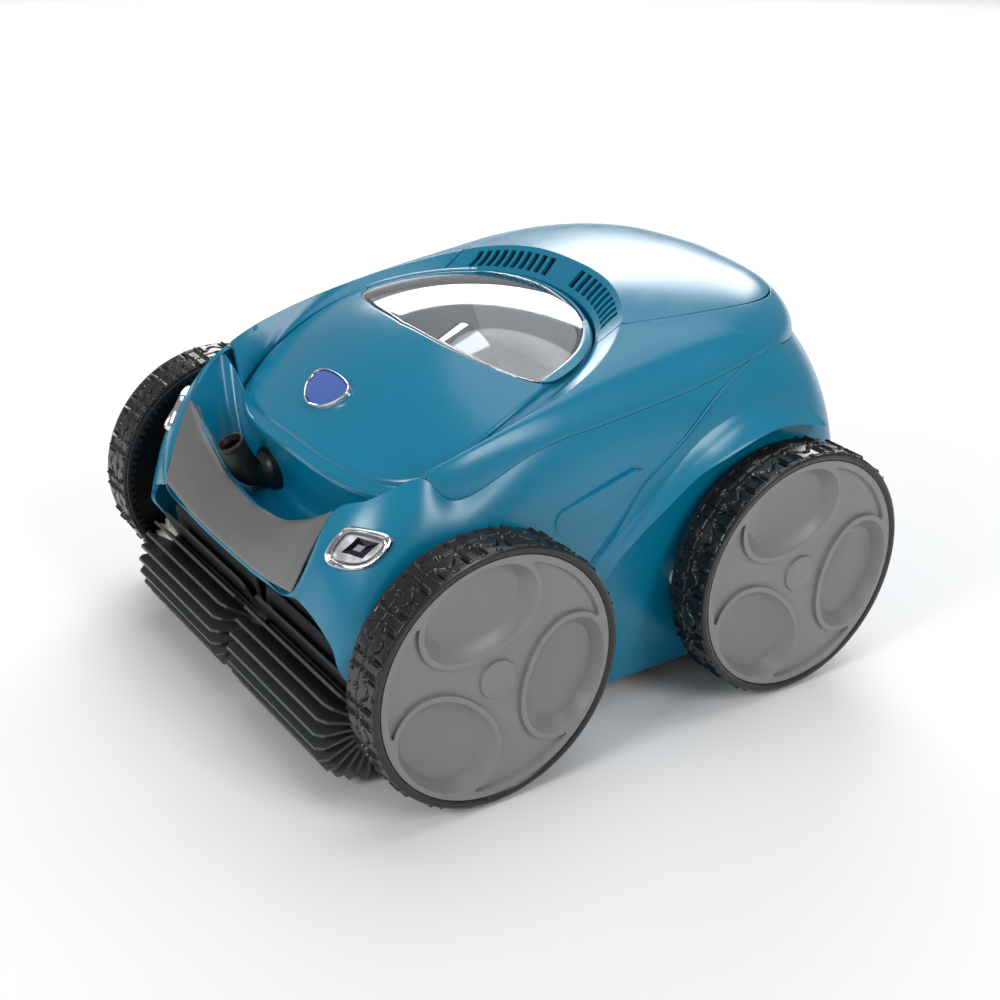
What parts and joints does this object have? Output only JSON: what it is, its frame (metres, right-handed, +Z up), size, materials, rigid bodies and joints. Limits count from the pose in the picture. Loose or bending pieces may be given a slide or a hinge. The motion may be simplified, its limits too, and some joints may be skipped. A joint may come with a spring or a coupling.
{
  "type": "robotic pool cleaner",
  "caption": "Wheeled pool cleaner: gear-driven brush rollers, hinged lid with a window over a lift-out filter, slotted rear deck, grab handle and cable elbow.",
  "frame": {"origin": "On the floor under the middle of the bounding box, in the plane of symmetry, midway between the wheel axles.", "axes": "+Z up, +X to the left side of the machine, -Y forward, towards the brushes and the handle; +Y to the rear deck."},
  "size_m": [0.43, 0.4584, 0.2815],
  "materials": {
    "hood_teal": "gloss moulded ABS",
    "dark_frame": "moulded polypropylene",
    "grey_trim": "satin moulded ABS",
    "chrome_trim": "bright plated",
    "mirror_lens": "dark mirror",
    "clear_window": "clear polycarbonate",
    "button_blue": "gloss lacquer",
    "seal_rubber": "moulded rubber",
    "black_plastic": "moulded nylon",
    "tyre_rubber": "moulded rubber",
    "disc_grey": "satin moulded ABS",
    "steel": "turned stainless steel",
    "gear_plastic": "acetal",
    "motor_metal": "sealed can",
    "board_green": "coated circuit board",
    "filter_grey": "moulded ABS",
    "filter_mesh": "fine woven polyester",
    "float_foam": "closed-cell foam",
    "brush_black": "moulded PVC"
  },
  "bodies": {
    "chassis": {"body_shell": "hood_teal", "belly_pan": "dark_frame", "hood": "hood_teal", "rear_deck": "hood_teal", "front_tub": "hood_teal", "front_handle": "grey_trim", "light_bezels": "chrome_trim", "light_lenses": "mirror_lens", "side_caps": "hood_teal", "lid_hinge_pins": "steel", "cable_gland": "black_plastic", "stub_axles": "steel", "axle_screws": "steel", "side_frames": "dark_frame", "motor_housing": "dark_frame", "housing_cover": "dark_frame", "traction_motors": "motor_metal", "pump_motor": "motor_metal", "control_board": "board_green", "outlet_duct": "dark_frame", "filter_bay": "filter_grey", "brush_support": "dark_frame", "brush_spindle": "steel", "float_blocks": "float_foam", "case_screws": "steel"},
    "lid": {"lid_shell": "hood_teal", "lid_window": "clear_window", "badge_bezel": "chrome_trim", "latch_spring": "steel", "lid_gasket": "seal_rubber"},
    "button": {"latch_button": "button_blue"},
    "elbow": {"cable_elbow": "black_plastic"},
    "canister": {"canister_body": "filter_grey", "canister_screen": "filter_mesh", "canister_cover": "filter_grey", "cyclone_ring": "chrome_trim"},
    "flap": {"inlet_flap": "black_plastic"},
    "impeller": {"propeller": "gear_plastic"},
    "wheel_front_left": {"tyre_front_left": "tyre_rubber", "rim_front_left": "black_plastic", "disc_front_left": "disc_grey"},
    "drive_front_left": {"pinion_front_left": "gear_plastic"},
    "wheel_rear_left": {"tyre_rear_left": "tyre_rubber", "rim_rear_left": "black_plastic", "disc_rear_left": "disc_grey"},
    "drive_rear_left": {"pinion_rear_left": "gear_plastic"},
    "idler_left": {"idler_gear_left": "gear_plastic"},
    "brush_left": {"brush_roller_left": "brush_black", "brush_gear_left": "gear_plastic"},
    "wheel_front_right": {"tyre_front_right": "tyre_rubber", "rim_front_right": "black_plastic", "disc_front_right": "disc_grey"},
    "drive_front_right": {"pinion_front_right": "gear_plastic"},
    "wheel_rear_right": {"tyre_rear_right": "tyre_rubber", "rim_rear_right": "black_plastic", "disc_rear_right": "disc_grey"},
    "drive_rear_right": {"pinion_rear_right": "gear_plastic"},
    "idler_right": {"idler_gear_right": "gear_plastic"},
    "brush_right": {"brush_roller_right": "brush_black", "brush_gear_right": "gear_plastic"}
  },
  "joints": [
    {"name": "wheel_front_left_spin", "type": "hinge", "parent": "chassis", "child": "wheel_front_left", "pos_m": [0.196, -0.13, 0.0957], "axis": [1, 0, 0], "continuous": true},
    {"name": "wheel_rear_left_spin", "type": "hinge", "parent": "chassis", "child": "wheel_rear_left", "pos_m": [0.196, 0.13, 0.0957], "axis": [1, 0, 0], "continuous": true},
    {"name": "pinion_front_left_spin", "type": "hinge", "parent": "chassis", "child": "drive_front_left", "pos_m": [0.165, -0.056, 0.0957], "axis": [1, 0, 0], "continuous": true},
    {"name": "pinion_rear_left_spin", "type": "hinge", "parent": "chassis", "child": "drive_rear_left", "pos_m": [0.165, 0.056, 0.0957], "axis": [1, 0, 0], "continuous": true},
    {"name": "idler_left_spin", "type": "hinge", "parent": "chassis", "child": "idler_left", "pos_m": [0.15, 0, 0.0957], "axis": [1, 0, 0], "continuous": true},
    {"name": "brush_left_spin", "type": "hinge", "parent": "chassis", "child": "brush_left", "pos_m": [0.08, -0.18527, 0.0465], "axis": [1, 0, 0], "continuous": true},
    {"name": "wheel_front_right_spin", "type": "hinge", "parent": "chassis", "child": "wheel_front_right", "pos_m": [-0.196, -0.13, 0.0957], "axis": [1, 0, 0], "continuous": true},
    {"name": "wheel_rear_right_spin", "type": "hinge", "parent": "chassis", "child": "wheel_rear_right", "pos_m": [-0.196, 0.13, 0.0957], "axis": [1, 0, 0], "continuous": true},
    {"name": "pinion_front_right_spin", "type": "hinge", "parent": "chassis", "child": "drive_front_right", "pos_m": [-0.165, -0.056, 0.0957], "axis": [1, 0, 0], "continuous": true},
    {"name": "pinion_rear_right_spin", "type": "hinge", "parent": "chassis", "child": "drive_rear_right", "pos_m": [-0.165, 0.056, 0.0957], "axis": [1, 0, 0], "continuous": true},
    {"name": "idler_right_spin", "type": "hinge", "parent": "chassis", "child": "idler_right", "pos_m": [-0.15, 0, 0.0957], "axis": [1, 0, 0], "continuous": true},
    {"name": "brush_right_spin", "type": "hinge", "parent": "chassis", "child": "brush_right", "pos_m": [-0.08, -0.18527, 0.0465], "axis": [1, 0, 0], "continuous": true},
    {"name": "lid_hinge", "type": "hinge", "parent": "chassis", "child": "lid", "pos_m": [0, 0.0605, 0.2632], "axis": [-1, 0, 0], "range_deg": [0, 70]},
    {"name": "canister_lift", "type": "slide", "parent": "chassis", "child": "canister", "axis": [0, 0, 1], "range_m": [0, 0.0787]},
    {"name": "latch_press", "type": "slide", "parent": "lid", "child": "button", "axis": [0, 0.5878, -0.809], "range_m": [0, 0.003], "stiffness_N_per_m": 400, "springref_m": -0.002, "deforming": ["latch_spring"]},
    {"name": "elbow_swivel", "type": "hinge", "parent": "chassis", "child": "elbow", "pos_m": [-0.046, -0.159, 0.151], "axis": [0, 1, 0], "range_deg": [-15, 60]},
    {"name": "flap_hinge", "type": "hinge", "parent": "canister", "child": "flap", "pos_m": [0, -0.074, 0.0526], "axis": [1, 0, 0], "range_deg": [0, 60], "stiffness_Nm_per_rad": 0.004},
    {"name": "propeller_spin", "type": "hinge", "parent": "chassis", "child": "impeller", "pos_m": [0, 0.12, 0.225], "axis": [0, 0, 1], "continuous": true}
  ],
  "couplings": [
    {"joint": "wheel_rear_left_spin", "follows": "wheel_front_left_spin", "ratio": 1},
    {"joint": "pinion_front_left_spin", "follows": "wheel_front_left_spin", "ratio": 7.1667},
    {"joint": "pinion_rear_left_spin", "follows": "wheel_front_left_spin", "ratio": 7.1667},
    {"joint": "idler_left_spin", "follows": "wheel_front_left_spin", "ratio": -1.9545},
    {"joint": "brush_left_spin", "follows": "wheel_front_left_spin", "ratio": 7.1667},
    {"joint": "wheel_rear_right_spin", "follows": "wheel_front_right_spin", "ratio": 1},
    {"joint": "pinion_front_right_spin", "follows": "wheel_front_right_spin", "ratio": 7.1667},
    {"joint": "pinion_rear_right_spin", "follows": "wheel_front_right_spin", "ratio": 7.1667},
    {"joint": "idler_right_spin", "follows": "wheel_front_right_spin", "ratio": -1.9545},
    {"joint": "brush_right_spin", "follows": "wheel_front_right_spin", "ratio": 7.1667},
    {"joint": "canister_lift", "follows": "lid_hinge", "m_per_rad": 0.064407}
  ]
}
